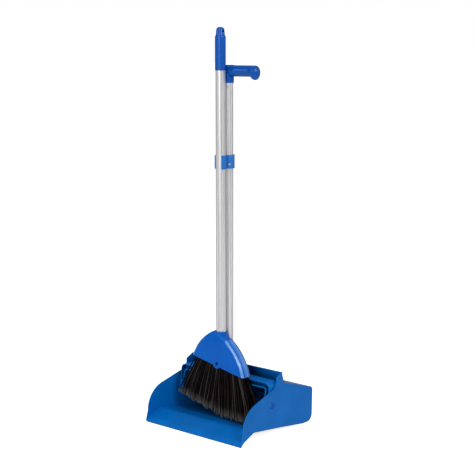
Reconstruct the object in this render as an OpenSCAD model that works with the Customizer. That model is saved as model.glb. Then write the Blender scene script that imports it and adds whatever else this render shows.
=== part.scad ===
// Upright dust pan and brush set: a hooded hopper pan on a swinging bail handle,
// and an angled brush that hangs in a clip on the pan's handle.
// X runs across the pan, -Y is the front lip, Z is up and z = 0 is the floor.

/* [Pan] */
// Length of the pan from lip to rear wall
pan_len = 262; // [240:1:290]
// Half of the width at the lip
lip_half_w = 146; // [144:1:160]
// Half of the width of the rear box at its mouth
box_half_w = 137; // [137:1:138]
// Wall thickness of the moulding
wall = 2.6; // [2:0.1:3]
// Height of the ramp's crest above the floor, measured underneath
crest_z = 22; // [18:1:26]
// Height of the hood's top edge
hood_z = 137.3; // [130:0.1:145]

/* [Bail handle] */
// Height of the pivot above the floor
pivot_z = 68; // [64:1:72]
// Radius of the pivot pins
pin_r = 4; // [3:0.5:5]
// Outer half width of the bail
yoke_half_w = 134.7; // [130:0.1:134.7]
// Width of each bail arm across the pan
arm_w = 12; // [10:1:13]
// Outer radius of both tubes
tube_r = 11; // [10:0.5:12.5]
// Wall thickness of both tubes
tube_wall = 1; // [0.8:0.1:1.5]
// Height of the top of the side grip
grip_top_z = 812; // [780:1:850]
// Reach of the side grip from the tube's axis
grip_reach = 78; // [70:1:110]
// Radius of the side grip
grip_r = 12.4; // [12.4:0.1:14]

/* [Clip] */
// Height of the clip's middle
clip_z = 600; // [580:1:640]
// Height of the clip
clip_h = 30; // [24:1:40]
// Distance between the two tubes' axes
tube_gap = 26; // [26:0.5:28]

/* [Brush] */
// Height of the top of the brush grip
brush_top_z = 893.6; // [880:0.1:920]
// Height of the lower end of the brush grip
brush_grip_z = 800; // [790:1:820]
// Radius of the left side of the brush head's pointed outline
head_left_r = 112.7; // [111:0.1:114]
// Radius of the right side of the brush head's pointed outline
head_right_r = 125.5; // [124:0.1:127]
// Rounding of the brush head's edge
head_round = 3; // [3:0.5:8]
// Slope of the brush head's lower edge in degrees
head_slope = 11.1; // [8:0.1:14]
// Radius of the socket that takes the brush tube
socket_r = 13.5; // [13.2:0.1:14]

/* [Hidden] */
$fn = 96;
// Clearances between pieces of one body, and between the pieces that turn or slide
fit = 0.05;
run = 0.3;

// Main places
lip_y = -pan_len / 2;
rear_y = pan_len / 2;
tube_y = -8;
brush_y = tube_y - tube_gap;
pivot_y = -21;
hood_y = 18;
box_top_y = 28.3;
box_top_z = 109.5;
rear_half_w = box_half_w - 1.5;
corner_r = 17.5;
top_round = 7;
top_slope = 16.2;
wall_arc_r = 60.5;
wall_arc = [-64, 26];
notch_r = 18;
notch = [-21, 120.5];
edge_slope = 16.5;
foot_y = 96;
pin_head_r = 6;

// Places on the handle
bar_z = [106, 120];
bar_y = [-24, 4];
yoke_socket_top = 155;
yoke_socket_r = 14.4;
pan_tube_z = [112, grip_top_z - 4];
grip_axis_z = grip_top_z - grip_r - 0.6;
collar_bottom_z = grip_top_z - 39;
cap_r = 15.7;
cap_axis_z = grip_axis_z - cap_r + grip_r;
grip_bore_r = 9.4;
spigot_core_r = 7;

// Places of the clip
clip_collar_r = 14;
jaw_r = 13.4;
jaw_opening = 52;

// Rivets and screws: the rivets stand behind the bail socket and under the grip's collar
rivet_r = 1.6;
rivet_z = 140;
grip_rivet_z = collar_bottom_z - 7;
grip_rivet_turn = 28;
screw_r = 1.5;
clip_screw_z = clip_z - 5;
clip_screw_turn = 52;

// Places on the brush: the middles of the two arcs of the head's outline come first
head_left = [36, 115.4];
head_right = [-42, 98];
block_x = [-58, 68];
head_front_y = -51;
head_rear_y = -24.4;
seam_y = brush_y;
shell = 2.4;
socket_top_z = 218;
brush_tube_z = [168, 862];
tip_low_z = 155;
low_mid_z = 142.4;
lobe = [4, 147];
lobe_r = 11;
block_h = 20;
neck_low_z = 165;
rear_screw_x = 38;
rear_screw_z = 175;
tip_stub_r = 8;
block_front_y = head_front_y + shell + 0.8;
block_rear_y = head_rear_y - shell - 0.4;
brush_r = 11.9;
tip_r = 9;
hang_z = brush_top_z - 9;
hang_r = 3;

blue = [0.02, 0.33, 0.72];
deep_blue = [0.02, 0.27, 0.62];
silver = [0.78, 0.78, 0.8];
steel = [0.6, 0.6, 0.62];

function arc(c, r, a0, a1, n = 10) =
    [for (i = [0:n]) [c[0] + r * cos(a0 + (a1 - a0) * i / n), c[1] + r * sin(a0 + (a1 - a0) * i / n)]];
function low_edge(x) = low_mid_z - x * tan(head_slope);
function top_line(y) = box_top_z - (y - box_top_y) * tan(top_slope);
function half_w(y) = y < hood_y
    ? lip_half_w - (lip_half_w - box_half_w) * (y - lip_y) / (hood_y - lip_y)
    : box_half_w - (box_half_w - rear_half_w) * (y - hood_y) / (rear_y - hood_y);

// Extrudes an outline drawn in Y and Z from x0 to x1
module along_x(x0, x1) {
    translate([x0, 0, 0]) rotate([90, 0, 90]) linear_extrude(x1 - x0) children();
}
// Extrudes an outline drawn in X and Z from y0 to y1
module along_y(y0, y1) {
    translate([0, y1, 0]) rotate([90, 0, 0]) linear_extrude(y1 - y0) children();
}

// ---- Pan ----

// Side outline of the pan, from the lip over the wall's edge and the hood, and back underneath
module pan_outline() {
    top_corner = [rear_y - top_round, top_line(rear_y - top_round) - top_round / cos(top_slope)];
    polygon(concat(
        [[lip_y, 0], [lip_y + 0.6, 4]],
        arc(wall_arc, wall_arc_r, 180, 90 + edge_slope, 12),
        arc(notch, notch_r, edge_slope - 90, 0, 8),
        [[notch[0] + notch_r, 127], [hood_y, hood_z], [box_top_y, box_top_z]],
        arc(top_corner, top_round, 90 - top_slope, 0, 6),
        arc([rear_y - 1.3 - corner_r, corner_r], corner_r, 0, -90, 8),
        [[foot_y, 0], [-78, crest_z - 0.2], [-84, crest_z], [-90, crest_z - 1.6], [-121, 8],
            [lip_y + 2.5, 0]]));
}

// Side outline of the hollow, open above the walls and past the lip
module hollow_outline() {
    low_round = corner_r - wall;
    high_round = top_round - wall;
    top_corner = [rear_y - top_round, top_line(rear_y - top_round) - top_round / cos(top_slope)];
    polygon(concat(
        [[lip_y - 20, -8], [lip_y, 1.4], [-125, 9.2], [-91, crest_z + 1.4], [-84.4, crest_z + wall],
            [-78, crest_z + wall - 0.2], [foot_y, wall]],
        arc([rear_y - 1.3 - corner_r, corner_r], low_round, -90, 0, 8),
        arc(top_corner, high_round, 0, 90 - top_slope, 6),
        [[box_top_y - 1, top_line(box_top_y - 1) - wall / cos(top_slope)], [hood_y - wall - 0.4, hood_z - 1],
            [hood_y - wall - 0.4, hood_z + 20], [lip_y - 20, hood_z + 20]]));
}

// Plan of the pan, drawn in by d on every side
module pan_plan(d) {
    r = 10 - d;
    front = lip_y - 1 - d * 8;
    linear_extrude(300, center = true)
        polygon(concat(
            [[-half_w(lip_y) + d, lip_y], [-half_w(lip_y) + d, front], [half_w(lip_y) - d, front],
                [half_w(lip_y) - d, lip_y], [box_half_w - d, hood_y]],
            arc([rear_half_w - 10, rear_y - 10], r, 0, 90, 6),
            arc([10 - rear_half_w, rear_y - 10], r, 90, 180, 6),
            [[-box_half_w + d, hood_y]]));
}

// Stop rib behind a bail arm, so that the handle stands upright against it
module stop_rib() {
    gap = 0.4;
    along_x(yoke_half_w - 6, half_w(0) - wall / 2)
        polygon([[-3 + gap, 88], [1.8 + gap, 99], [7 + gap, 97], [2.5 + gap, 86]]);
}

module pan_body() {
    color(blue)
    difference() {
        union() {
            difference() {
                intersection() {
                    along_x(-lip_half_w - 1, lip_half_w + 1) pan_outline();
                    pan_plan(0);
                }
                intersection() {
                    along_x(-lip_half_w - 1, lip_half_w + 1) hollow_outline();
                    pan_plan(wall);
                }
            }
            for (s = [0, 1]) mirror([s, 0, 0]) {
                stop_rib();
                // Boss that holds the arm off the wall
                translate([yoke_half_w + 0.5, pivot_y, pivot_z])
                    rotate([0, 90, 0]) cylinder(r = 10, h = half_w(pivot_y) - wall / 2 - yoke_half_w - 0.5);
                // Raised ring round the pin's head
                translate([half_w(pivot_y) - 1.5, pivot_y, pivot_z])
                    rotate([0, 90, 0]) cylinder(r = 8, h = 2.6);
            }
        }
        for (s = [0, 1]) mirror([s, 0, 0]) {
            translate([yoke_half_w - 5, pivot_y, pivot_z])
                rotate([0, 90, 0]) cylinder(r = pin_r + fit, h = 20);
            translate([half_w(pivot_y) - 0.6, pivot_y, pivot_z])
                rotate([0, 90, 0]) cylinder(r = pin_head_r + fit, h = 10);
        }
    }
}

// Headed plastic pin through the wall and a bail arm
module pivot_pin() {
    translate([yoke_half_w - arm_w - 2, pivot_y, pivot_z]) rotate([0, 90, 0])
        cylinder(r = pin_r, h = half_w(pivot_y) - yoke_half_w + arm_w + 2);
    translate([half_w(pivot_y) - 0.6 + fit, pivot_y, pivot_z])
        rotate([0, 90, 0]) cylinder(r = pin_head_r, h = 1.4);
}

module pivot_pin_right() {
    color(deep_blue) pivot_pin();
}

module pivot_pin_left() {
    color(deep_blue) mirror([1, 0, 0]) pivot_pin();
}

// ---- Bail handle ----

// Front outline of the bail: an arch with rounded shoulders, drawn in by d and ending at foot
module arch_outline(d, foot) {
    o = yoke_half_w - d;
    i = yoke_half_w - arm_w + d;
    ro = 14 - d;
    ri = 6 + d;
    polygon(concat(
        [[o, foot]],
        arc([o - ro, bar_z[1] - d - ro], ro, 0, 90, 8),
        arc([ro - o, bar_z[1] - d - ro], ro, 90, 180, 8),
        [[-o, foot], [-i, foot]],
        arc([ri - i, bar_z[0] + d - ri], ri, 180, 90, 6),
        arc([i - ri, bar_z[0] + d - ri], ri, 90, 0, 6),
        [[i, foot]]));
}

// Side outline of the bail, from the deep bar down to the round pivot eye
module arm_outline() {
    eye = 9.5;
    polygon([[bar_y[0], bar_z[1] + 1], [bar_y[1], bar_z[1] + 1], [bar_y[1], bar_z[0] - 2],
        [pivot_y + eye * cos(24), pivot_z + eye * sin(24)], [pivot_y, pivot_z - 5],
        [pivot_y - eye, pivot_z], [bar_y[0], bar_z[0] - 2]]);
}

module yoke() {
    web = 3;
    rim = 2.5;
    mid_y = (bar_y[0] + bar_y[1]) / 2;
    rib_in = 10;
    rib_top = yoke_socket_top - 6;
    color(blue)
    difference() {
        union() {
            difference() {
                intersection() {
                    along_y(-60, 20) arch_outline(0, pivot_z - 4);
                    along_x(-200, 200) arm_outline();
                }
                along_y(-60, mid_y - web / 2) arch_outline(rim, pivot_z + 14);
                along_y(mid_y + web / 2, 20) arch_outline(rim, pivot_z + 14);
            }
            // Solid eyes at the pivots
            for (s = [-1, 1])
                translate([s * (yoke_half_w - arm_w / 2), pivot_y, pivot_z])
                    rotate([0, 90, 0]) cylinder(r = 10, h = arm_w, center = true);
            // Socket for the tube with its ribs
            translate([0, tube_y, bar_z[0]]) cylinder(r = yoke_socket_r, h = yoke_socket_top - bar_z[0]);
            for (s = [0, 1]) mirror([s, 0, 0])
                along_y(tube_y - 2, tube_y + 2)
                    polygon([[rib_in, bar_z[1] - 1], [44, bar_z[1] - 1], [14, rib_top], [rib_in, rib_top]]);
        }
        translate([0, tube_y, pan_tube_z[0] - fit]) cylinder(r = tube_r + fit, h = 100);
        for (s = [-1, 1])
            translate([s * (yoke_half_w - arm_w / 2), pivot_y, pivot_z])
                rotate([0, 90, 0]) cylinder(r = pin_r + 0.08, h = arm_w + 2, center = true);
        rivet_hole();
    }
}

module rivet_hole() {
    translate([0, tube_y, rivet_z]) rotate([-90, 0, 0]) cylinder(r = rivet_r + fit, h = 20);
}

// Dome headed blind rivet lying along +X, its head's underside at x = seat
module rivet(seat, reach) {
    rotate([0, 90, 0]) {
        translate([0, 0, seat - reach]) cylinder(r = rivet_r, h = reach + 0.5);
        translate([0, 0, seat + fit]) intersection() {
            cylinder(r = 3.1, h = 2);
            translate([0, 0, -2.6]) sphere(r = 4);
        }
    }
}

module socket_rivet() {
    color(steel)
    translate([0, tube_y, rivet_z]) rotate([0, 0, 90]) rivet(yoke_socket_r + 0.35, 5.5);
}

module grip_rivet() {
    color(steel)
    translate([0, tube_y, grip_rivet_z]) rotate([0, 0, grip_rivet_turn - 90]) rivet(tube_r + 0.4, 5);
}

module pan_tube() {
    color(silver)
    translate([0, tube_y, 0])
    difference() {
        translate([0, 0, pan_tube_z[0]]) cylinder(r = tube_r, h = pan_tube_z[1] - pan_tube_z[0]);
        translate([0, 0, pan_tube_z[0] - 1])
            cylinder(r = tube_r - tube_wall, h = pan_tube_z[1] - pan_tube_z[0] + 2);
        translate([0, 0, rivet_z]) rotate([-90, 0, 0]) cylinder(r = rivet_r + fit, h = 20);
        translate([0, 0, grip_rivet_z]) rotate([0, 0, grip_rivet_turn - 90])
            rotate([0, 90, 0]) cylinder(r = rivet_r + fit, h = 20);
        translate([0, 0, clip_screw_z]) rotate([0, 0, clip_screw_turn - 90])
            rotate([0, 90, 0]) cylinder(r = screw_r + fit, h = 20);
    }
}

// Collar, side grip and the inner spigot that the rivet holds, in one moulding
module side_grip() {
    spigot_low = grip_rivet_z - 10;
    color(deep_blue)
    difference() {
        union() {
            translate([0, tube_y, collar_bottom_z]) cylinder(r = grip_r, h = grip_top_z - collar_bottom_z);
            translate([0, tube_y, grip_axis_z]) rotate([0, 90, 0]) cylinder(r = grip_r, h = grip_reach - 12);
            translate([0, tube_y, spigot_low])
                cylinder(r = tube_r - tube_wall - fit, h = grip_top_z - spigot_low - 2);
        }
        // Ring shaped groove that the tube stands in
        translate([0, tube_y, spigot_low - 1])
        difference() {
            cylinder(r = tube_r + fit, h = pan_tube_z[1] - spigot_low + 1 + fit);
            translate([0, 0, -1]) cylinder(r = tube_r - tube_wall - fit, h = 100);
        }
        // Hollow of the grip, and the spigot's core
        translate([tube_r + 4, tube_y, grip_axis_z]) rotate([0, 90, 0]) cylinder(r = grip_bore_r, h = 100);
        translate([0, tube_y, spigot_low - 1]) cylinder(r = spigot_core_r, h = grip_top_z - spigot_low - 6);
        translate([0, tube_y, grip_rivet_z]) rotate([0, 0, grip_rivet_turn - 90])
            rotate([0, 90, 0]) cylinder(r = rivet_r + fit, h = 20);
    }
}

// Flared hand stop that plugs the end of the side grip
module grip_end_cap() {
    start = grip_reach - 12 + fit;
    color(deep_blue)
    translate([0, tube_y, 0]) {
        hull() {
            translate([start, 0, grip_axis_z]) rotate([0, 90, 0]) cylinder(r = grip_r, h = 1, $fn = 48);
            translate([grip_reach - 2, 0, cap_axis_z]) rotate([0, 90, 0])
                cylinder(r = cap_r, h = 2.5, $fn = 48);
            translate([grip_reach + 4, 0, cap_axis_z]) rotate([0, 90, 0]) cylinder(r = 9, h = 1.6, $fn = 48);
        }
        translate([start - 12, 0, grip_axis_z]) rotate([0, 90, 0]) cylinder(r = grip_bore_r - fit, h = 12.5);
    }
}

// ---- Clip ----

// Collar on the pan's tube, and an open jaw for the brush tube
module brush_clip() {
    color(blue)
    difference() {
        translate([0, 0, clip_z - clip_h / 2]) union() {
            translate([0, tube_y, 0]) cylinder(r = clip_collar_r, h = clip_h);
            translate([0, brush_y, 0]) cylinder(r = jaw_r, h = clip_h);
            translate([-6, brush_y, 0]) cube([12, tube_gap, clip_h]);
        }
        translate([0, tube_y, 0]) cylinder(r = tube_r + fit, h = 1000);
        translate([0, brush_y, 0]) cylinder(r = tube_r + run, h = 1000);
        translate([0, brush_y, 0]) linear_extrude(1000)
            polygon([[0, 0], [-40 * tan(jaw_opening), -40], [40 * tan(jaw_opening), -40]]);
        translate([0, tube_y, clip_screw_z]) rotate([0, 0, clip_screw_turn - 90])
            rotate([0, 90, 0]) cylinder(r = screw_r + fit, h = 20);
    }
}

module clip_screw() {
    color(steel)
    translate([0, tube_y, clip_screw_z]) rotate([0, 0, clip_screw_turn - 90]) rotate([0, 90, 0])
    difference() {
        union() {
            translate([0, 0, tube_r - 3]) cylinder(r = screw_r, h = 7);
            translate([0, 0, clip_collar_r + fit]) cylinder(r = 2.6, h = 1.4);
        }
        translate([0, 0, clip_collar_r + 1.6]) cube([3.2, 0.7, 2], center = true);
        translate([0, 0, clip_collar_r + 1.6]) cube([0.7, 3.2, 2], center = true);
    }
}

// ---- Brush ----

module brush_tube() {
    color(silver)
    translate([0, brush_y, brush_tube_z[0]])
    difference() {
        cylinder(r = tube_r, h = brush_tube_z[1] - brush_tube_z[0]);
        translate([0, 0, -1]) cylinder(r = tube_r - tube_wall, h = brush_tube_z[1] - brush_tube_z[0] + 2);
    }
}

// Sleeve grip with a narrower rounded tip and a hanging hole
module brush_grip() {
    shoulder = 875.5;
    color(deep_blue)
    difference() {
        translate([0, brush_y, 0]) rotate_extrude()
            polygon(concat(
                [[0, brush_grip_z], [brush_r - 0.5, brush_grip_z], [brush_r, brush_grip_z + 1],
                    [brush_r, shoulder - 3], [tip_r + 0.8, shoulder + 1.5], [tip_r, brush_top_z - 7]],
                arc([tip_r - 7, brush_top_z - 7], 7, 10, 90, 8),
                [[0, brush_top_z]]));
        translate([0, brush_y, brush_grip_z - 1])
            cylinder(r = tube_r + fit, h = brush_tube_z[1] - brush_grip_z + 1 + fit);
        translate([-30, brush_y, hang_z]) rotate([0, 90, 0]) cylinder(r = hang_r, h = 60);
    }
}

// Moulded end piece in the tube, whose threaded stub the two covers clamp
module tube_tip() {
    color("black")
    translate([0, brush_y, 0]) {
        translate([0, 0, brush_tube_z[0] + fit]) cylinder(r = tube_r - tube_wall - fit, h = 34);
        translate([0, 0, tip_low_z]) cylinder(r = tip_stub_r - 1, h = brush_tube_z[0] - tip_low_z + 1);
        for (i = [0:2]) translate([0, 0, tip_low_z + 1 + 4 * i]) cylinder(r = tip_stub_r, h = 1.6);
    }
}

// Everything from the head's sloping lower edge, raised by d, up to the neck's end
module above_edge(d) {
    along_y(-80, 0)
        polygon([[-100, low_edge(-100) + d], [100, low_edge(100) + d], [100, socket_top_z],
            [-100, socket_top_z]]);
}

// Disc with a rounded rim on its front or rear, between two planes in Y
module rimmed_disc(c, r, q, y0, y1, round_front) {
    translate([c[0], 0, c[1]]) rotate([90, 0, 0]) rotate_extrude() {
        translate([0, -y1]) square([r - q, y1 - y0]);
        translate([0, round_front ? -y1 : -y1 + q]) square([r, y1 - y0 - q]);
        translate([r - q, round_front ? -y0 - q : -y1 + q]) circle(r = q, $fn = 48);
    }
}

// Pointed arch between two planes in Y, drawn in by d: what two large discs share
module head_dome(y0, y1, round_front, d) {
    front = round_front ? y0 + d : y0;
    rear = round_front ? y1 : y1 - d;
    intersection() {
        rimmed_disc(head_left, head_left_r - d, head_round - d, front, rear, round_front);
        rimmed_disc(head_right, head_right_r - d, head_round - d, front, rear, round_front);
    }
}

// Round neck that takes the tube
module neck() {
    translate([0, brush_y, neck_low_z]) cylinder(r = socket_r, h = socket_top_z - neck_low_z);
}

module head_front_cover() {
    screw = [lobe[0], lobe[1]];
    color(blue)
    difference() {
        union() {
            difference() {
                intersection() {
                    head_dome(head_front_y, seam_y, true, 0);
                    above_edge(0);
                }
                head_dome(head_front_y, seam_y + 1, true, shell);
            }
            // Half round seat of the tube
            intersection() {
                neck();
                translate([-200, head_front_y + 1, 0]) cube([400, seam_y - head_front_y - 1, 400]);
            }
            // Lobe and boss of the screw
            translate([screw[0], 0, screw[1]]) along_y(head_front_y, head_front_y + 3) circle(r = lobe_r);
            intersection() {
                translate([screw[0], 0, screw[1] + 20]) along_y(head_front_y + 1, seam_y) circle(r = 5);
                above_edge(block_h + 2);
            }
        }
        translate([0, brush_y, brush_tube_z[0] - fit]) cylinder(r = tube_r + fit, h = 100);
        translate([0, brush_y, tip_low_z - 5]) cylinder(r = tip_stub_r + run, h = 30);
        translate([screw[0], 0, screw[1]]) along_y(head_front_y - 1, seam_y) circle(r = 2.2);
        translate([screw[0], 0, screw[1]]) along_y(head_front_y - 1, head_front_y + 1.4) circle(r = 4);
        rear_screw_holes(1.5);
    }
}

module rear_screw_holes(r) {
    for (x = [-rear_screw_x, rear_screw_x])
        translate([x, 0, rear_screw_z]) along_y(seam_y - 9, head_rear_y + 1) circle(r = r, $fn = 48);
}

// Bosses for the two rear screws, between two planes
module rear_bosses(y0, y1) {
    for (x = [-rear_screw_x, rear_screw_x])
        translate([x, 0, rear_screw_z]) along_y(y0, y1) circle(r = 4.5);
}

module head_rear_cover() {
    color(blue)
    difference() {
        union() {
            difference() {
                intersection() {
                    head_dome(seam_y + fit, head_rear_y, false, 0);
                    above_edge(0);
                }
                head_dome(seam_y - 1, head_rear_y, false, shell);
            }
            intersection() {
                neck();
                translate([-200, seam_y + fit, 0]) cube([400, 200, 400]);
            }
            rear_bosses(seam_y + fit, head_rear_y - 1);
        }
        translate([0, brush_y, brush_tube_z[0] - fit]) cylinder(r = tube_r + fit, h = 100);
        translate([0, brush_y, tip_low_z - 5]) cylinder(r = tip_stub_r + run, h = 30);
        rear_screw_holes(1.8);
        for (x = [-rear_screw_x, rear_screw_x])
            translate([x, 0, rear_screw_z]) along_y(head_rear_y - 1.3, head_rear_y + 1) circle(r = 3.4);
    }
}

// Slanted block that the tufts are set in, clamped between the covers
module bristle_block() {
    left = block_x[0];
    right = block_x[1];
    color([0.05, 0.05, 0.06])
    difference() {
        along_y(block_front_y, block_rear_y)
            polygon([[left, low_edge(left)], [right, low_edge(right)], [right, low_edge(right) + 8],
                [right - 7, low_edge(right - 7) + block_h], [left + 17, low_edge(left + 17) + block_h],
                [left, low_edge(left) + 6]]);
        translate([0, brush_y, tip_low_z - 1]) cylinder(r = tip_stub_r + run, h = 40);
        translate([lobe[0], 0, lobe[1]]) along_y(block_front_y - 1, seam_y - 1) circle(r = 2 + fit);
    }
}

// Bundle of tufts: it flares out from the block, and its ends follow the pan's floor
module bristles() {
    top_left = block_x[0] - 5;
    top_right = block_x[1] + 5;
    left = -116;
    right = 116;
    color([0.09, 0.08, 0.08])
    intersection() {
        along_y(-80, 0)
            polygon([[top_left, low_edge(top_left) - 0.2], [top_right, low_edge(top_right) - 0.2],
                [96, 88], [112, 52], [right, 27], [28, 27], [left, 55], [-96, 106]]);
        along_x(-150, 150)
            polygon(concat(
                [[-46, 160], [-27, 160], [-26.4, 68], [-25, 27]],
                arc([pivot_y, pivot_z], 50.2, -102, -132, 6),
                [[-56, 70], [-47.4, 134]]));
    }
}

module front_cover_screw() {
    color(steel)
    translate([lobe[0], 0, lobe[1]])
    difference() {
        union() {
            along_y(head_front_y + 0.2, head_front_y + 1.3) circle(r = 3.8);
            along_y(head_front_y + 1.2, seam_y - 3) circle(r = 2);
        }
        translate([0, head_front_y, 0]) cube([4.4, 1.4, 0.9], center = true);
        translate([0, head_front_y, 0]) cube([0.9, 1.4, 4.4], center = true);
    }
}

module rear_cover_screws() {
    color(steel)
    for (x = [-rear_screw_x, rear_screw_x]) translate([x, 0, rear_screw_z])
    difference() {
        union() {
            along_y(head_rear_y - 1.2, head_rear_y - 0.2) circle(r = 3.2);
            along_y(seam_y - 8, head_rear_y - 1.1) circle(r = 1.45);
        }
        translate([0, head_rear_y, 0]) cube([3.6, 1.2, 0.8], center = true);
        translate([0, head_rear_y, 0]) cube([0.8, 1.2, 3.6], center = true);
    }
}

pan_body();
pivot_pin_left();
pivot_pin_right();
yoke();
socket_rivet();
pan_tube();
side_grip();
grip_end_cap();
grip_rivet();
brush_clip();
clip_screw();
brush_tube();
brush_grip();
tube_tip();
head_front_cover();
head_rear_cover();
bristle_block();
bristles();
front_cover_screw();
rear_cover_screws();
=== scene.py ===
"""An upright dust pan and brush set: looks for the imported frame."""

import math
import random

import bmesh
import bpy
from mathutils import Matrix, Vector


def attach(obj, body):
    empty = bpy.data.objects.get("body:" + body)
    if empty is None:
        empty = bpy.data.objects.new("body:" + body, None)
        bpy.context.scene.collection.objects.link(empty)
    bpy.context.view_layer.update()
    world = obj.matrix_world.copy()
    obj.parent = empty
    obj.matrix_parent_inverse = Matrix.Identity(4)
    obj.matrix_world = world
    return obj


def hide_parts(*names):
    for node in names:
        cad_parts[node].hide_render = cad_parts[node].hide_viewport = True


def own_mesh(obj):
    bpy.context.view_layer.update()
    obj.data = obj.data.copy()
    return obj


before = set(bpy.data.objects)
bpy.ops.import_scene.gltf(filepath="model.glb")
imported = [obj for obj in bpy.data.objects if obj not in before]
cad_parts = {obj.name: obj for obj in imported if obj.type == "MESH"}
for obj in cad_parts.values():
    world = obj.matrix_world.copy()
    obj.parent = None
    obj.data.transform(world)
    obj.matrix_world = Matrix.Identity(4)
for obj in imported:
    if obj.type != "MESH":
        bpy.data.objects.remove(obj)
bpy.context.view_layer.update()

# ---- Studio ----
# A pale floor under soft light: a low, diffused sun from the front and five softboxes round the set.
# The camera stands to the right of the pan's lip, level with the hand grips.
MM = 0.001
CAMERA_AT = (1.8112, -2.0292, 0.8532)
CAMERA_YAW = 41.44
CAMERA_PITCH = -8.89
CAMERA_LENS = 92.9
SUN_HEIGHT_TURN = 60
SUN_SIDE_TURN = 18
SUN_SPREAD = 36
ROOM_LIGHT = 0.24
BACKDROP_LIGHT = 1.0
FLOOR_GLOW = 0.85

scene = bpy.context.scene
scene.view_settings.view_transform = "Standard"
camera_data = bpy.data.cameras.new("studio_camera")
camera_data.lens = CAMERA_LENS
camera_data.sensor_width = 36
camera_data.clip_end = 200
camera = bpy.data.objects.new("studio_camera", camera_data)
camera.location = CAMERA_AT
camera.rotation_euler = (math.radians(90 + CAMERA_PITCH), 0, math.radians(CAMERA_YAW))
scene.collection.objects.link(camera)
scene.camera = camera


def softbox(name, at, size, power, target=(0, 0, 0.3)):
    """A square area light aimed at a point of the object."""
    data = bpy.data.lights.new(name, "AREA")
    data.size = size
    data.energy = power
    lamp = bpy.data.objects.new(name, data)
    lamp.location = at
    aim = Vector(target) - Vector(at)
    lamp.rotation_euler = aim.to_track_quat("-Z", "Y").to_euler()
    scene.collection.objects.link(lamp)


softbox("right_softbox", (2.6, -0.9, 1.7), 0.5, 23)
softbox("left_softbox", (-1.7, -2.6, 1.6), 0.6, 14)
softbox("front_softbox", (0.9, -3.2, 1.1), 0.8, 16)
softbox("top_softbox", (0.2, 0.6, 3.0), 1.2, 9)
softbox("rear_softbox", (2.2, 1.5, 1.5), 0.7, 12)
sun_data = bpy.data.lights.new("diffused_sun", "SUN")
sun_data.energy = 0.95
sun_data.angle = math.radians(SUN_SPREAD)
sun = bpy.data.objects.new("diffused_sun", sun_data)
sun.rotation_euler = (math.radians(SUN_HEIGHT_TURN), 0, math.radians(SUN_SIDE_TURN))
scene.collection.objects.link(sun)

world = bpy.data.worlds.new("studio_world")
scene.world = world
world.use_nodes = True
wires = world.node_tree
backdrop = wires.nodes["Background"]
backdrop.inputs["Color"].default_value = (1, 1, 1, 1)
seen = wires.nodes.new("ShaderNodeLightPath")
strength = wires.nodes.new("ShaderNodeMapRange")
strength.inputs["To Min"].default_value = ROOM_LIGHT
strength.inputs["To Max"].default_value = BACKDROP_LIGHT
wires.links.new(seen.outputs["Is Camera Ray"], strength.inputs["Value"])
wires.links.new(strength.outputs["Result"], backdrop.inputs["Strength"])

floor_mesh = bpy.data.meshes.new("floor")
floor_shape = bmesh.new()
bmesh.ops.create_circle(floor_shape, cap_ends=True, radius=60, segments=48)
floor_shape.to_mesh(floor_mesh)
floor_shape.free()
floor = bpy.data.objects.new("floor", floor_mesh)
scene.collection.objects.link(floor)
floor_paint = bpy.data.materials.new("pale_floor")
floor_paint.use_nodes = True
paint_nodes, paint_wires = floor_paint.node_tree.nodes, floor_paint.node_tree.links
paint = paint_nodes["Principled BSDF"]
paint.inputs["Base Color"].default_value = (0.8, 0.8, 0.8, 1)
paint.inputs["Roughness"].default_value = 0.7
paint.inputs["Emission Color"].default_value = (1, 1, 1, 1)
glow = paint_nodes.new("ShaderNodeMath")
glow.operation = "MULTIPLY"
glow.inputs[1].default_value = FLOOR_GLOW
paint_wires.new(paint_nodes.new("ShaderNodeLightPath").outputs["Is Camera Ray"], glow.inputs[0])
paint_wires.new(glow.outputs["Value"], paint.inputs["Emission Strength"])
floor_mesh.materials.append(floor_paint)

# ---- Pan body ----
# One polypropylene moulding: a ramp with a down-turned lip, two tall side walls and a covered
# rear box under a raised hood. It is drawn as an outer skin, and the wall's thickness grows inwards.
PAN_BLUE = (0.0, 0.145, 0.52)
PAN_LENGTH = 262
LIP_HALF_WIDTH = 146
BOX_HALF_WIDTH = 137
REAR_HALF_WIDTH = 135.5
PAN_WALL = 2.6
HOOD_EDGE = (18, 137.3)
BOX_TOP_START = (28.3, 109.5)
BOX_TOP_SLOPE = 16.2
TOP_ROUNDING = 7
REAR_ROUNDING = 17.5
CREST_HEIGHT = 22
PIVOT = (-21, 68)
CORNER_ROUNDING = 4
DULL_SHINE = 0.14


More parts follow.
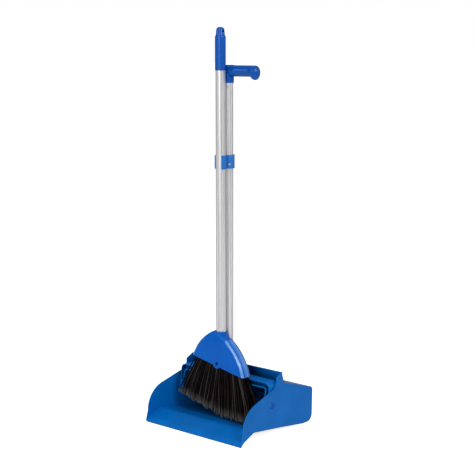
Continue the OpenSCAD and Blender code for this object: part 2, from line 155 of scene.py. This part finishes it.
def moulded_plastic(name, colour, roughness=0.34, shine=DULL_SHINE):
    """Injection moulded plastic: fine mould grain, faint flow shading and a gloss that varies a little."""
    made = bpy.data.materials.new(name)
    made.use_nodes = True
    nodes, links = made.node_tree.nodes, made.node_tree.links
    shader = nodes["Principled BSDF"]
    where = nodes.new("ShaderNodeTexCoord")
    flow = nodes.new("ShaderNodeTexNoise")
    flow.inputs["Scale"].default_value = 14
    flow.inputs["Detail"].default_value = 3
    links.new(where.outputs["Object"], flow.inputs["Vector"])
    tint = nodes.new("ShaderNodeValToRGB")
    tint.color_ramp.elements[0].position = 0.3
    tint.color_ramp.elements[1].position = 0.7
    tint.color_ramp.elements[0].color = (*[c * 0.9 for c in colour], 1)
    tint.color_ramp.elements[1].color = (*[min(1, c * 1.08 + 0.001) for c in colour], 1)
    links.new(flow.outputs["Fac"], tint.inputs["Fac"])
    links.new(tint.outputs["Color"], shader.inputs["Base Color"])
    scuff = nodes.new("ShaderNodeTexNoise")
    scuff.inputs["Scale"].default_value = 55
    scuff.inputs["Detail"].default_value = 6
    links.new(where.outputs["Object"], scuff.inputs["Vector"])
    gloss = nodes.new("ShaderNodeMapRange")
    gloss.inputs["To Min"].default_value = roughness - 0.06
    gloss.inputs["To Max"].default_value = roughness + 0.08
    links.new(scuff.outputs["Fac"], gloss.inputs["Value"])
    links.new(gloss.outputs["Result"], shader.inputs["Roughness"])
    skin = nodes.new("ShaderNodeTexNoise")
    skin.inputs["Scale"].default_value = 900
    links.new(where.outputs["Object"], skin.inputs["Vector"])
    bump = nodes.new("ShaderNodeBump")
    bump.inputs["Strength"].default_value = 0.08
    bump.inputs["Distance"].default_value = 0.0002
    links.new(skin.outputs["Fac"], bump.inputs["Height"])
    links.new(bump.outputs["Normal"], shader.inputs["Normal"])
    shader.inputs["IOR"].default_value = 1.49
    shader.inputs["Specular IOR Level"].default_value = shine
    return made


def mix_in(material, factor, colour):
    """Mixes a second colour into a plastic, as far as another node's factor says."""
    links = material.node_tree.links
    base = material.node_tree.nodes["Principled BSDF"].inputs["Base Color"]
    mix = material.node_tree.nodes.new("ShaderNodeMix")
    mix.data_type = "RGBA"
    mix.inputs["B"].default_value = colour
    links.new(factor, mix.inputs["Factor"])
    links.new(base.links[0].from_socket, mix.inputs["A"])
    links.new(mix.outputs["Result"], base)


def paint_cavity_shade(material, reach, darkest):
    """Paints shade into a plastic's colour where other walls stand close round it, as deep inside the pan:
    painted shade, from ambient occlusion.
    """
    nodes, links = material.node_tree.nodes, material.node_tree.links
    cavity = nodes.new("ShaderNodeAmbientOcclusion")
    cavity.inputs["Distance"].default_value = reach
    shade = nodes.new("ShaderNodeMapRange")
    shade.inputs["From Min"].default_value = 0.05
    shade.inputs["From Max"].default_value = 0.42
    shade.inputs["To Min"].default_value = darkest
    shade.inputs["To Max"].default_value = 0
    links.new(cavity.outputs["AO"], shade.inputs["Value"])
    mix_in(material, shade.outputs["Result"], (0, 0, 0, 1))


def finish_piece(name, shape, material, body, nodes=(), smooth=32, scale=MM):
    """Puts a bmesh drawn in millimetres into the scene as one piece of a body."""
    bmesh.ops.scale(shape, vec=(scale, scale, scale), verts=shape.verts)
    mesh = bpy.data.meshes.new(name)
    shape.to_mesh(mesh)
    shape.free()
    mesh.shade_smooth()
    mesh.set_sharp_from_angle(angle=math.radians(smooth))
    mesh.materials.append(material)
    piece = bpy.data.objects.new(name, mesh)
    scene.collection.objects.link(piece)
    if nodes:
        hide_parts(*nodes)
    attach(piece, body)
    return piece


def soften(piece, width, segments=2, angle=35):
    """Rounds the moulding's sharp edges."""
    rounding = piece.modifiers.new("edge_rounding", "BEVEL")
    rounding.width = width * MM
    rounding.segments = segments
    rounding.limit_method = "ANGLE"
    rounding.angle_limit = math.radians(angle)
    rounding.use_clamp_overlap = True
    even = piece.modifiers.new("even_shading", "WEIGHTED_NORMAL")
    even.keep_sharp = True


def arc(centre, radius, start, end, steps):
    """Points of an arc in a plane, from one angle to another in degrees."""
    turns = [math.radians(start + (end - start) * i / steps) for i in range(steps + 1)]
    return [(centre[0] + radius * math.cos(t), centre[1] + radius * math.sin(t)) for t in turns]


def lathe(shape, profile, at, axis, steps=48):
    """Spins a profile of (distance along the axis, radius) round an axis through a point."""
    axis = Vector(axis).normalized()
    side = axis.orthogonal().normalized()
    at = Vector(at)
    points = [shape.verts.new(at + axis * along + side * radius) for along, radius in profile]
    edges = [shape.edges.new(pair) for pair in zip(points, points[1:])]
    bmesh.ops.spin(shape, geom=points + edges, cent=at, axis=axis, dvec=(0, 0, 0),
                   angle=math.tau, steps=steps, use_merge=True)


def tidy(shape):
    """Merges doubles and turns every face outwards."""
    bmesh.ops.remove_doubles(shape, verts=shape.verts, dist=0.004)
    bmesh.ops.recalc_face_normals(shape, faces=shape.faces)


def pan_half_width(y):
    """The pan narrows from the lip to the hood, and a little more to the rear."""
    if y < HOOD_EDGE[0]:
        t = (y + PAN_LENGTH / 2) / (HOOD_EDGE[0] + PAN_LENGTH / 2)
        return LIP_HALF_WIDTH + (BOX_HALF_WIDTH - LIP_HALF_WIDTH) * t
    t = (y - HOOD_EDGE[0]) / (PAN_LENGTH / 2 - HOOD_EDGE[0])
    return BOX_HALF_WIDTH + (REAR_HALF_WIDTH - BOX_HALF_WIDTH) * t


lip = -PAN_LENGTH / 2
rear = PAN_LENGTH / 2
top_turn = rear - TOP_ROUNDING
top_slope = math.radians(BOX_TOP_SLOPE)
top_turn_height = BOX_TOP_START[1] - (top_turn - BOX_TOP_START[0]) * math.tan(top_slope)
top_corner = (top_turn, top_turn_height - TOP_ROUNDING / math.cos(top_slope))
wall_edge = [
    (lip + 0.6, 4),
    *arc((-64, 26), 60.5, 180, 106.5, 22),
    *arc((-21, 120.5), 18, -73.5, 0, 14),
    (-3, 127),
]
closed_side = [
    HOOD_EDGE,
    BOX_TOP_START,
    *arc(top_corner, TOP_ROUNDING, 90 - BOX_TOP_SLOPE, 0, 8),
    *arc((rear - 1.3 - REAR_ROUNDING, REAR_ROUNDING), REAR_ROUNDING, 0, -90, 12),
    (96, 0),
    (-79, CREST_HEIGHT - 0.25),
    (-83.5, CREST_HEIGHT),
    (-87, CREST_HEIGHT - 0.6),
    (-90, CREST_HEIGHT - 1.8),
    (-118.5, 9),
    (-122.5, 6.6),
    (lip + 1.8, 0),
]
pan = bmesh.new()
side = [pan.verts.new((-1, y, z)) for y, z in wall_edge + closed_side]
wall_face = pan.faces.new(side)
grown = bmesh.ops.extrude_face_region(pan, geom=[wall_face])
far_side = [g for g in grown["geom"] if isinstance(g, bmesh.types.BMVert)]
bmesh.ops.translate(pan, vec=(2, 0, 0), verts=far_side)
pan.faces.ensure_lookup_table()
bmesh.ops.bisect_plane(pan, geom=pan.verts[:] + pan.edges[:] + pan.faces[:],
                       plane_co=(0, HOOD_EDGE[0], 0), plane_no=(0, 1, 0))
open_points = {(round(y, 3), round(z, 3)) for y, z in wall_edge + [HOOD_EDGE, (lip + 1.8, 0)]}
mouth = [f for f in pan.faces if abs(f.normal.x) < 0.5
         and all((round(v.co.y, 3), round(v.co.z, 3)) in open_points for v in f.verts)]
bmesh.ops.delete(pan, geom=mouth, context="FACES")
bmesh.ops.recalc_face_normals(pan, faces=pan.faces)
for corner in pan.verts:
    corner.co.x *= pan_half_width(corner.co.y)
seams = [e for e in pan.edges if len(e.link_faces) == 2 and
         (abs(e.link_faces[0].normal.x) > 0.9) != (abs(e.link_faces[1].normal.x) > 0.9)]
bmesh.ops.bevel(pan, geom=seams, offset=CORNER_ROUNDING, offset_type="OFFSET", segments=4, profile=0.5,
                affect="EDGES", material=-1, clamp_overlap=True)
bmesh.ops.dissolve_degenerate(pan, edges=pan.edges, dist=0.01)
bmesh.ops.recalc_face_normals(pan, faces=pan.faces)
PAN_PLASTIC = moulded_plastic("pan_polypropylene", PAN_BLUE)
# Painted shade: the pan's colour is darkened towards black in its hollows and deep inside it.
paint_cavity_shade(PAN_PLASTIC, 0.16, 0.9)
pan_body = finish_piece("pan_body_shell", pan, PAN_PLASTIC, "pan", ["pan_body"])
thickness = pan_body.modifiers.new("wall_thickness", "SOLIDIFY")
thickness.thickness = PAN_WALL * MM
thickness.offset = -1
thickness.use_even_offset = True
soften(pan_body, 0.9, 3)

# ---- Pivot eyes of the pan ----
# Round bosses moulded inside the walls hold the bail's arms off them, and a raised ring outside
# surrounds each pin's head; stop ribs behind the arms keep the handle upright.
wall_at_pivot = pan_half_width(PIVOT[0])
ARM_OUTSIDE = 134.7
eyes = bmesh.new()
inside = ARM_OUTSIDE + 0.5
in_wall = wall_at_pivot - 1
boss = [(inside, 4.05), (inside, 9.4), (inside + 0.6, 10), (in_wall, 10), (in_wall, 4.05), (inside, 4.05)]
pin_ring = [(-1.2, 6.1), (0.9, 6.1), (1.1, 6.5), (1.0, 7.6), (-0.2, 8.6), (-1.2, 8.6), (-1.2, 6.1)]
stop_rib = [(-2.6, 88), (2.2, 99), (7.4, 97), (2.9, 86)]
for side_sign in (-1, 1):
    lathe(eyes, boss, (0, *PIVOT), (side_sign, 0, 0))
    lathe(eyes, [(wall_at_pivot + out, radius) for out, radius in pin_ring], (0, *PIVOT), (side_sign, 0, 0))
    rib_corners = [eyes.verts.new((side_sign * (ARM_OUTSIDE - 6), y, z)) for y, z in stop_rib]
    rib_face = eyes.faces.new(rib_corners)
    rib_grown = bmesh.ops.extrude_face_region(eyes, geom=[rib_face])
    bmesh.ops.translate(eyes, vec=(side_sign * 7, 0, 0),
                        verts=[g for g in rib_grown["geom"] if isinstance(g, bmesh.types.BMVert)])
tidy(eyes)
finish_piece("pan_pivot_eyes", eyes, PAN_PLASTIC, "pan")

# ---- Pivot pins ----
# Headed plastic pins pushed through the walls and the bail's arms, with a shallow domed head.
GRIP_BLUE = (0.0, 0.082, 0.41)
GRIP_PLASTIC = moulded_plastic("grip_polypropylene", GRIP_BLUE, 0.24, 0.3)
for name, side_sign in (("pivot_pin_left", -1), ("pivot_pin_right", 1)):
    pin = bmesh.new()
    lathe(pin, [(120.7, 0), (120.7, 3.2), (121.5, 4), (wall_at_pivot - 0.5, 4), (wall_at_pivot - 0.5, 5.1),
                (wall_at_pivot + 0.4, 5.1), (wall_at_pivot + 0.9, 4.6), (wall_at_pivot + 0.9, 2.4),
                (wall_at_pivot + 0.1, 2.0), (wall_at_pivot + 0.1, 0)], (0, *PIVOT), (side_sign, 0, 0))
    tidy(pin)
    finish_piece(name + "_moulded", pin, GRIP_PLASTIC, "pan", [name])


def from_cad(node, name, material, body, rounding=0.8, segments=2, smooth=32):
    """A copy of a frame piece, merged and cleaned, with its sharp edges rounded."""
    shape = bmesh.new()
    shape.from_mesh(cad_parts[node].data)
    bmesh.ops.remove_doubles(shape, verts=shape.verts, dist=1e-5)
    bmesh.ops.dissolve_limit(shape, angle_limit=math.radians(0.6), verts=shape.verts, edges=shape.edges)
    piece = finish_piece(name, shape, material, body, [node], smooth, 1)
    if rounding:
        soften(piece, rounding, segments)
    return piece


# ---- Bail ----
# The moulded bail swings between the walls: channelled arms and bar, with a ribbed socket for the tube.
from_cad("yoke", "bail", PAN_PLASTIC, "handle", 0.7)


# ---- Handle tubes ----
# Two drawn aluminium tubes with a satin anodised skin: fine lines run along their length.
def drawn_aluminium(name):
    made = bpy.data.materials.new(name)
    made.use_nodes = True
    nodes, links = made.node_tree.nodes, made.node_tree.links
    shader = nodes["Principled BSDF"]
    shader.inputs["Metallic"].default_value = 0.65
    shader.inputs["Anisotropic"].default_value = 0.4
    where = nodes.new("ShaderNodeTexCoord")
    stretch = nodes.new("ShaderNodeMapping")
    stretch.inputs["Scale"].default_value = (430, 430, 1.5)
    links.new(where.outputs["Object"], stretch.inputs["Vector"])
    lines = nodes.new("ShaderNodeTexNoise")
    lines.inputs["Scale"].default_value = 1
    lines.inputs["Detail"].default_value = 4
    links.new(stretch.outputs["Vector"], lines.inputs["Vector"])
    tint = nodes.new("ShaderNodeValToRGB")
    tint.color_ramp.elements[0].position = 0.36
    tint.color_ramp.elements[1].position = 0.64
    tint.color_ramp.elements[0].color = (0.58, 0.58, 0.6, 1)
    tint.color_ramp.elements[1].color = (0.97, 0.97, 0.98, 1)
    links.new(lines.outputs["Fac"], tint.inputs["Fac"])
    links.new(tint.outputs["Color"], shader.inputs["Base Color"])
    gloss = nodes.new("ShaderNodeMapRange")
    gloss.inputs["To Min"].default_value = 0.24
    gloss.inputs["To Max"].default_value = 0.4
    links.new(lines.outputs["Fac"], gloss.inputs["Value"])
    links.new(gloss.outputs["Result"], shader.inputs["Roughness"])
    bump = nodes.new("ShaderNodeBump")
    bump.inputs["Strength"].default_value = 0.12
    bump.inputs["Distance"].default_value = 0.0001
    links.new(lines.outputs["Fac"], bump.inputs["Height"])
    links.new(bump.outputs["Normal"], shader.inputs["Normal"])
    return made


TUBE_METAL = drawn_aluminium("satin_aluminium")
TUBE_RADIUS = 11
PAN_TUBE_Y = -8
BRUSH_TUBE_Y = -34
for name, node, body, y, low, high in (
    ("pan_handle_tube", "pan_tube", "handle", PAN_TUBE_Y, 112, 808),
    ("brush_handle_tube", "brush_tube", "brush", BRUSH_TUBE_Y, 168, 862),
):
    tube = bmesh.new()
    bore = TUBE_RADIUS - 1
    lathe(tube, [(low, bore), (low, TUBE_RADIUS - 0.2), (low + 0.2, TUBE_RADIUS), (high - 0.2, TUBE_RADIUS),
                 (high, TUBE_RADIUS - 0.2), (high, bore), (low, bore)], (0, y, 0), (0, 0, 1), 96)
    tidy(tube)
    finish_piece(name, tube, TUBE_METAL, body, [node])

# ---- Side grip ----
# Collar, sideways grip and inner spigot in one moulding, with a flared hand stop plugged into its end.
from_cad("side_grip", "side_grip_moulding", GRIP_PLASTIC, "handle", 0.9, 3)
GRIP_AXIS = (PAN_TUBE_Y, 799)
GRIP_RADIUS = 12.4
STOP_RADIUS = 15.7
FLARE_START = 66.5
FLARE_LENGTH = 10.5


def ease(part):
    """A smooth rise from 0 to 1."""
    return part * part * (3 - 2 * part)


stop_shape = bmesh.new()
growth = STOP_RADIUS - GRIP_RADIUS
flare = [(66.1, 0), (66.1, GRIP_RADIUS - 0.3), (FLARE_START, GRIP_RADIUS)]
for part in (0.2, 0.4, 0.6, 0.8, 1):
    flare.append((FLARE_START + FLARE_LENGTH * part, GRIP_RADIUS + growth * ease(part)))
flare += arc((78.2, STOP_RADIUS - 1.6), 1.6, 90, 20, 5)
flare += [(80.6, 13.2), (81.8, 10.5), (82.9, 6.5), (83.4, 3), (83.5, 0)]
lathe(stop_shape, flare, (0, *GRIP_AXIS), (1, 0, 0), 64)
tidy(stop_shape)
for point in stop_shape.verts:
    sink = min(1, max(0, (point.co.x - FLARE_START) / FLARE_LENGTH))
    point.co.z -= growth * ease(sink)
finish_piece("side_grip_hand_stop", stop_shape, GRIP_PLASTIC, "handle", ["grip_end_cap"])

# ---- Clip ----
# A collar screwed to the pan's tube, with an open jaw that the brush tube springs into.
CLIP_PLASTIC = moulded_plastic("clip_nylon", (0.02, 0.17, 0.56), 0.24, 0.3)
from_cad("brush_clip", "clip_moulding", CLIP_PLASTIC, "handle", 0.5)


# ---- Fasteners ----
# The clip's zinc plated screw and the aluminium blind rivets get a bright, lightly worn metal, and the
# head's screws a blackened one; all keep their own shapes.
def plated_steel(name, dark, bright):
    made = bpy.data.materials.new(name)
    made.use_nodes = True
    nodes, links = made.node_tree.nodes, made.node_tree.links
    shader = nodes["Principled BSDF"]
    shader.inputs["Metallic"].default_value = 1
    where = nodes.new("ShaderNodeTexCoord")
    mottle = nodes.new("ShaderNodeTexNoise")
    mottle.inputs["Scale"].default_value = 700
    links.new(where.outputs["Object"], mottle.inputs["Vector"])
    tint = nodes.new("ShaderNodeValToRGB")
    tint.color_ramp.elements[0].color = dark
    tint.color_ramp.elements[1].color = bright
    links.new(mottle.outputs["Fac"], tint.inputs["Fac"])
    links.new(tint.outputs["Color"], shader.inputs["Base Color"])
    gloss = nodes.new("ShaderNodeMapRange")
    gloss.inputs["To Min"].default_value = 0.2
    gloss.inputs["To Max"].default_value = 0.45
    links.new(mottle.outputs["Fac"], gloss.inputs["Value"])
    links.new(gloss.outputs["Result"], shader.inputs["Roughness"])
    return made


STEEL = plated_steel("plated_steel", (0.42, 0.42, 0.44, 1), (0.66, 0.66, 0.67, 1))
BLACK_STEEL = plated_steel("blackened_steel", (0.02, 0.025, 0.04, 1), (0.05, 0.055, 0.07, 1))
for node, metal in (("socket_rivet", STEEL), ("grip_rivet", STEEL), ("clip_screw", STEEL),
                    ("front_cover_screw", BLACK_STEEL), ("rear_cover_screws", BLACK_STEEL)):
    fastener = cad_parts[node]
    fastener.data.materials.clear()
    fastener.data.materials.append(metal)

# ---- Brush grip ----
# A moulded sleeve pushed over the tube, with a narrow rounded tip and a hole to hang it by.
from_cad("brush_grip", "brush_grip_moulding", GRIP_PLASTIC, "brush", 0.5)

# ---- Brush head ----
# Two gloss shells screwed together round the tube: a flat faced pointed arch, cut off at a slant below,
# with a round neck for the tube. Their rims are polished and carry a painted highlight, a paler blue.
HEAD_BLUE = (0.0, 0.112, 0.52)
RIM_PAINTED_HIGHLIGHT_BLUE = (0.2, 0.48, 1.0, 1)
LEFT_ARC = ((36, 115.4), 112.7)
RIGHT_ARC = ((-42, 98), 125.5)
ARCH_TOP = 216
HEAD_SLOPE = math.radians(11.1)
SLANT_MIDDLE = 142.4
NECK_TOP = 218
NECK_RADIUS = 13.5
SHELL_WALL = 2.4
FRONT_DEPTH = 17
REAR_DEPTH = 9.6
RIM_ROUNDING = 3
SEAM_Y = BRUSH_TUBE_Y
LOBE = (4, 147)
LOBE_RADIUS = 11
CHIN_START = 195
POLISH_AND_HIGHLIGHT_TOP = 203
REAR_SCREWS = ((-38, 175), (38, 175))


def rim_level(material, elsewhere, on_rim):
    """A node's output with one value on the head's rims, marked "rim" in the mesh, and one elsewhere."""
    nodes, links = material.node_tree.nodes, material.node_tree.links
    zone = nodes.new("ShaderNodeAttribute")
    zone.attribute_name = "rim"
    level = nodes.new("ShaderNodeMapRange")
    level.inputs["To Min"].default_value = elsewhere
    level.inputs["To Max"].default_value = on_rim
    links.new(zone.outputs["Fac"], level.inputs["Value"])
    return level.outputs["Result"]


def slant_height(x):
    """Height of the head's lower edge at a place across the brush."""
    return SLANT_MIDDLE - x * math.tan(HEAD_SLOPE)


def arch_side(side_sign, steps):
    """One side of the pointed arch from the slanted edge up, with the way inwards at each point."""
    centre, radius = RIGHT_ARC if side_sign > 0 else LEFT_ARC
    low = 0
    for _ in range(20):
        low = math.asin((slant_height(centre[0] + side_sign * radius * math.cos(low)) - centre[1]) / radius)
    high = math.asin((ARCH_TOP - centre[1]) / radius)
    points = []
    for k in range(steps + 1):
        turn = low + (high - low) * k / steps
        out = Vector((side_sign * math.cos(turn), 0, math.sin(turn)))
        points.append((Vector((centre[0], 0, centre[1])) + out * radius, -out))
    corner, _ = points[0]
    points[0] = (corner, Vector((-side_sign, 0, side_sign * math.tan(HEAD_SLOPE))))
    return points


def head_outline(with_lobe):
    """The head's outline, clockwise from the left end of its lower edge, as (point, way inwards)."""
    outline = arch_side(-1, 20) + arch_side(1, 22)[::-1]
    if with_lobe:
        still = Vector((0, 0, 0))
        for x, z in arc(LOBE, LOBE_RADIUS, 3, -206, 20):
            outline.append((Vector((x, 0, min(z, slant_height(x)))), still))
    return outline


def head_shell(front):
    """An open half shell, stepped from the seam round the rim to the flat face, with its screw holes."""
    toward = -1 if front else 1
    depth = FRONT_DEPTH if front else REAR_DEPTH
    lip_rounding = 0.7 if front else 2.4
    outline = head_outline(front)
    arch_points = len(head_outline(False))
    shape = bmesh.new()
    # Marks the rims: they are polished, and a painted highlight is mixed into their colour.
    polish_and_highlight = shape.verts.layers.float.new("rim")
    face = shape.faces.new([shape.verts.new(point + inwards * lip_rounding + Vector((0, SEAM_Y, 0)))
                            for point, inwards in outline])
    rings = [list(face.verts)]
    quarter = [math.radians(90 * k / 5) for k in range(1, 6)]
    steps = [(lip_rounding * (1 - math.cos(t)), lip_rounding * (1 - math.sin(t))) for t in quarter]
    flank = depth - RIM_ROUNDING
    steps += [(flank + RIM_ROUNDING * math.sin(t), RIM_ROUNDING * (1 - math.cos(t))) for t in [0, *quarter]]
    for step, (level, inset) in enumerate(steps):
        grown = bmesh.ops.extrude_face_region(shape, geom=[face])
        new_face = next(g for g in grown["geom"] if isinstance(g, bmesh.types.BMFace))
        if face.is_valid and len(rings) > 1:
            shape.faces.remove(face)
        ring = []
        for old in rings[-1]:
            beside = [e.other_vert(old) for e in old.link_edges]
            ring.append(next(v for v in beside if v in new_face.verts))
        for v, (point, inwards) in zip(ring, outline):
            v.co = point + inwards * inset + Vector((0, SEAM_Y + toward * level, 0))
            plain = step in (len(quarter), len(steps) - 1) or point.z > POLISH_AND_HIGHLIGHT_TOP
            v[polish_and_highlight] = 0 if plain else 1
        rings.append(ring)
        face = new_face
    seam_face = [f for f in shape.faces if set(f.verts) == set(rings[0])]
    below = [f for f in shape.faces if f is not face and len(f.verts) == 4
             and sum(v in ring[arch_points - 1:] + ring[:1] for ring in rings for v in f.verts) == 4]
    bmesh.ops.delete(shape, geom=list({*seam_face, *below, face}), context="FACES_ONLY")
    edge_loop = [e for e in shape.edges if all(v in rings[-1] for v in e.verts)]
    upright = Matrix.Rotation(math.pi / 2, 3, "X")
    for x, z in [LOBE] if front else REAR_SCREWS:
        hole = bmesh.ops.create_circle(shape, segments=24, radius=4 if front else 3.4)
        bmesh.ops.rotate(shape, verts=hole["verts"], cent=(0, 0, 0), matrix=upright)
        bmesh.ops.translate(shape, verts=hole["verts"], vec=(x, SEAM_Y + toward * depth, z))
        edge_loop += list({e for v in hole["verts"] for e in v.link_edges})
    bmesh.ops.triangle_fill(shape, use_beauty=True, use_dissolve=False, edges=edge_loop)
    bmesh.ops.delete(shape, geom=[e for e in shape.edges if not e.link_faces], context="EDGES")
    for level in (CHIN_START, CHIN_START + 8):
        bmesh.ops.bisect_plane(shape, geom=shape.verts[:] + shape.edges[:] + shape.faces[:],
                               plane_co=(0, 0, level), plane_no=(0, 0, 1))
    slope = 4 if front else 1.5
    for v in shape.verts:
        climb = min(1, max(0, (v.co.z - CHIN_START) / 20))
        beyond = max(0, (v.co.y - SEAM_Y) * toward - depth + slope + 3)
        v.co.y -= toward * min(beyond, slope * climb * (1.6 - 0.6 * climb))
    neck_heights = (CHIN_START - 8, NECK_TOP - 1, NECK_TOP)
    neck_profile = [shape.verts.new((-NECK_RADIUS, SEAM_Y, z)) for z in neck_heights]
    neck_profile[-1].co.x += 0.7
    neck_edges = [shape.edges.new(pair) for pair in zip(neck_profile, neck_profile[1:])]
    bmesh.ops.spin(shape, geom=neck_profile + neck_edges, cent=(0, SEAM_Y, 0), axis=(0, 0, 1),
                   dvec=(0, 0, 0), angle=math.pi if front else -math.pi, steps=24, use_merge=False)
    bmesh.ops.remove_doubles(shape, verts=shape.verts, dist=0.01)
    bmesh.ops.recalc_face_normals(shape, faces=shape.faces)
    flat = next(f for f in shape.faces
                if abs(f.normal.y) > 0.95 and abs(f.calc_center_median().z - 165) < 20)
    if flat.normal.y * toward < 0:
        bmesh.ops.reverse_faces(shape, faces=shape.faces)
    return shape


HEAD_PLASTIC = moulded_plastic("head_polypropylene", HEAD_BLUE, 0.24)
head_shine = HEAD_PLASTIC.node_tree.nodes["Principled BSDF"].inputs["Specular IOR Level"]
HEAD_PLASTIC.node_tree.links.new(rim_level(HEAD_PLASTIC, DULL_SHINE, 1.0), head_shine)
# Painted highlight: a paler blue mixed into the colour along the rims.
mix_in(HEAD_PLASTIC, rim_level(HEAD_PLASTIC, 0, 0.5), RIM_PAINTED_HIGHLIGHT_BLUE)
for name, node, front in (
    ("head_front_shell", "head_front_cover", True),
    ("head_rear_shell", "head_rear_cover", False),
):
    piece = finish_piece(name, head_shell(front), HEAD_PLASTIC, "brush", [node], 28)
    wall = piece.modifiers.new("shell_wall", "SOLIDIFY")
    wall.thickness = SHELL_WALL * MM
    wall.offset = -1
    soften(piece, 0.4, 2, 60)

# ---- Bristle block and tube end ----
# A black block clamped between the shells holds the tufts; the tube's threaded end stands in it.
BLACK_PLASTIC = moulded_plastic("black_plastic", (0.014, 0.014, 0.016), 0.5)
from_cad("bristle_block", "tuft_block", BLACK_PLASTIC, "brush", 0.5)
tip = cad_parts["tube_tip"]
tip.data.materials.clear()
tip.data.materials.append(BLACK_PLASTIC)


# ---- Bristles ----
# Stiff filaments set in rows of tufts: near black with brown and grey ones among them, and paler,
# split tips. They fan out from the slanted block in tufts, each parted into twists whose filaments keep
# together down to their ends, and the ends follow the slope and the pan's floor.
def filament_material(name):
    made = bpy.data.materials.new(name)
    made.use_nodes = True
    nodes, links = made.node_tree.nodes, made.node_tree.links
    shader = nodes["Principled BSDF"]
    tone = nodes.new("ShaderNodeAttribute")
    tone.attribute_name = "filament"
    split = nodes.new("ShaderNodeSeparateColor")
    links.new(tone.outputs["Color"], split.inputs["Color"])
    dye = nodes.new("ShaderNodeValToRGB")
    ramp = dye.color_ramp
    ramp.elements[0].color = (0.0025, 0.0018, 0.0025, 1)
    ramp.elements[1].color = (0.075, 0.062, 0.056, 1)
    for place, colour in (
        (0.5, (0.005, 0.0035, 0.004, 1)),
        (0.72, (0.018, 0.009, 0.006, 1)),
        (0.88, (0.034, 0.028, 0.027, 1)),
    ):
        ramp.elements.new(place).color = colour
    links.new(split.outputs["Red"], dye.inputs["Fac"])
    fade = nodes.new("ShaderNodeMapRange")
    fade.interpolation_type = "SMOOTHSTEP"
    fade.inputs["From Min"].default_value = 0.8
    fade.inputs["From Max"].default_value = 1.0
    fade.inputs["To Max"].default_value = 0.75
    links.new(split.outputs["Green"], fade.inputs["Value"])
    mix = nodes.new("ShaderNodeMix")
    mix.data_type = "RGBA"
    links.new(fade.outputs["Result"], mix.inputs["Factor"])
    links.new(dye.outputs["Color"], mix.inputs["A"])
    mix.inputs["B"].default_value = (0.12, 0.115, 0.105, 1)
    links.new(mix.outputs["Result"], shader.inputs["Base Color"])
    shader.inputs["Roughness"].default_value = 0.45
    shader.inputs["Specular IOR Level"].default_value = 0.1
    return made


TUFT_ROWS = 5
TUFTS_ACROSS = 31
TWISTS_PER_TUFT = 4
FILAMENTS_PER_TWIST = 8
ROOT_SPAN = (-63, 73)
TIP_SPAN = (-110, 112)
ROOT_DEPTHS = (-45.5, -28.5)
TIP_DEPTHS = (-56, -27)
LEFT_TIP_HEIGHT = 56.5
TIP_SLOPE = 0.25
PAN_FLOOR = 22.5


def end_height(x):
    """Height of the trimmed ends at a place across the brush."""
    return max(PAN_FLOOR, LEFT_TIP_HEIGHT - (x - TIP_SPAN[0]) * TIP_SLOPE)


def strand(shape, layer, root, tip, bow, width, tone):
    """A three sided filament with a slight bow from root to tip."""
    rings = 6
    along = (tip - root).normalized()
    side = along.cross(Vector((0, 1, 0))).normalized()
    front = along.cross(side)
    previous = None
    for k in range(rings):
        t = k / (rings - 1)
        middle = root.lerp(tip, t) + bow * math.sin(math.pi * t)
        radius = width * (1 - 0.5 * t)
        ring = [shape.verts.new(middle + (side * math.cos(turn) + front * math.sin(turn)) * radius)
                for turn in (0.5, 2.6, 4.7)]
        if previous:
            for j in range(3):
                face = shape.faces.new((previous[j], previous[(j + 1) % 3], ring[(j + 1) % 3], ring[j]))
                for loop in face.loops:
                    loop[layer] = (tone, t if loop.vert in ring else t - 1 / (rings - 1), 0, 1)
        previous = ring
    end = shape.faces.new(previous)
    for loop in end.loops:
        loop[layer] = (tone, 1, 0, 1)


def ragged(across, deep, short):
    """A random offset of an end, which only ever makes it shorter."""
    return Vector((random.gauss(0, across), random.gauss(0, deep), abs(random.gauss(0, short))))


random.seed(7)
filaments = bmesh.new()
tone_layer = filaments.loops.layers.float_color.new("filament")
for row in range(TUFT_ROWS):
    back = row / (TUFT_ROWS - 1)
    for column in range(TUFTS_ACROSS):
        across = (column + 0.5 * (row % 2)) / (TUFTS_ACROSS - 0.5)
        tuft_root = Vector((ROOT_SPAN[0] + (ROOT_SPAN[1] - ROOT_SPAN[0]) * across,
                            ROOT_DEPTHS[0] + (ROOT_DEPTHS[1] - ROOT_DEPTHS[0]) * back, 0))
        tuft_tip = Vector((TIP_SPAN[0] + (TIP_SPAN[1] - TIP_SPAN[0]) * across + random.uniform(-2, 2),
                           TIP_DEPTHS[0] + (TIP_DEPTHS[1] - TIP_DEPTHS[0]) * back + random.uniform(-1, 1),
                           random.uniform(0, 5)))
        for _ in range(TWISTS_PER_TUFT):
            twist_tone = random.choice((0.05, 0.1, 0.1, 0.2, 0.3, 0.4, 0.75, 0.95))
            twist_root = tuft_root + Vector((random.uniform(-1.8, 1.8), random.uniform(-1, 1), 0))
            twist_tip = tuft_tip + ragged(1.5, 1, 3)
            outwards = across * 2 - 1
            twist_bow = Vector((outwards * random.uniform(2, 6), random.uniform(-1, 1), 0))
            for _ in range(FILAMENTS_PER_TWIST):
                root = twist_root + Vector((random.uniform(-0.6, 0.6), random.uniform(-0.5, 0.5), 0))
                root.z = slant_height(root.x) + 2
                tip = twist_tip + ragged(0.75, 0.6, 1.8)
                tip.x = max(TIP_SPAN[0] - 3, min(TIP_SPAN[1] + 3, tip.x))
                tip.y = max(TIP_DEPTHS[0] - 1, min(TIP_DEPTHS[1] + 1, tip.y))
                tip.z += end_height(tip.x)
                tone = min(1, max(0, random.gauss(twist_tone, 0.12)))
                strand(filaments, tone_layer, root, tip, twist_bow, random.uniform(0.32, 0.48), tone)
bristles = finish_piece("bristle_filaments", filaments, filament_material("bristle_fibre"), "brush",
                        ["bristles"], 80)
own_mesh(bristles)
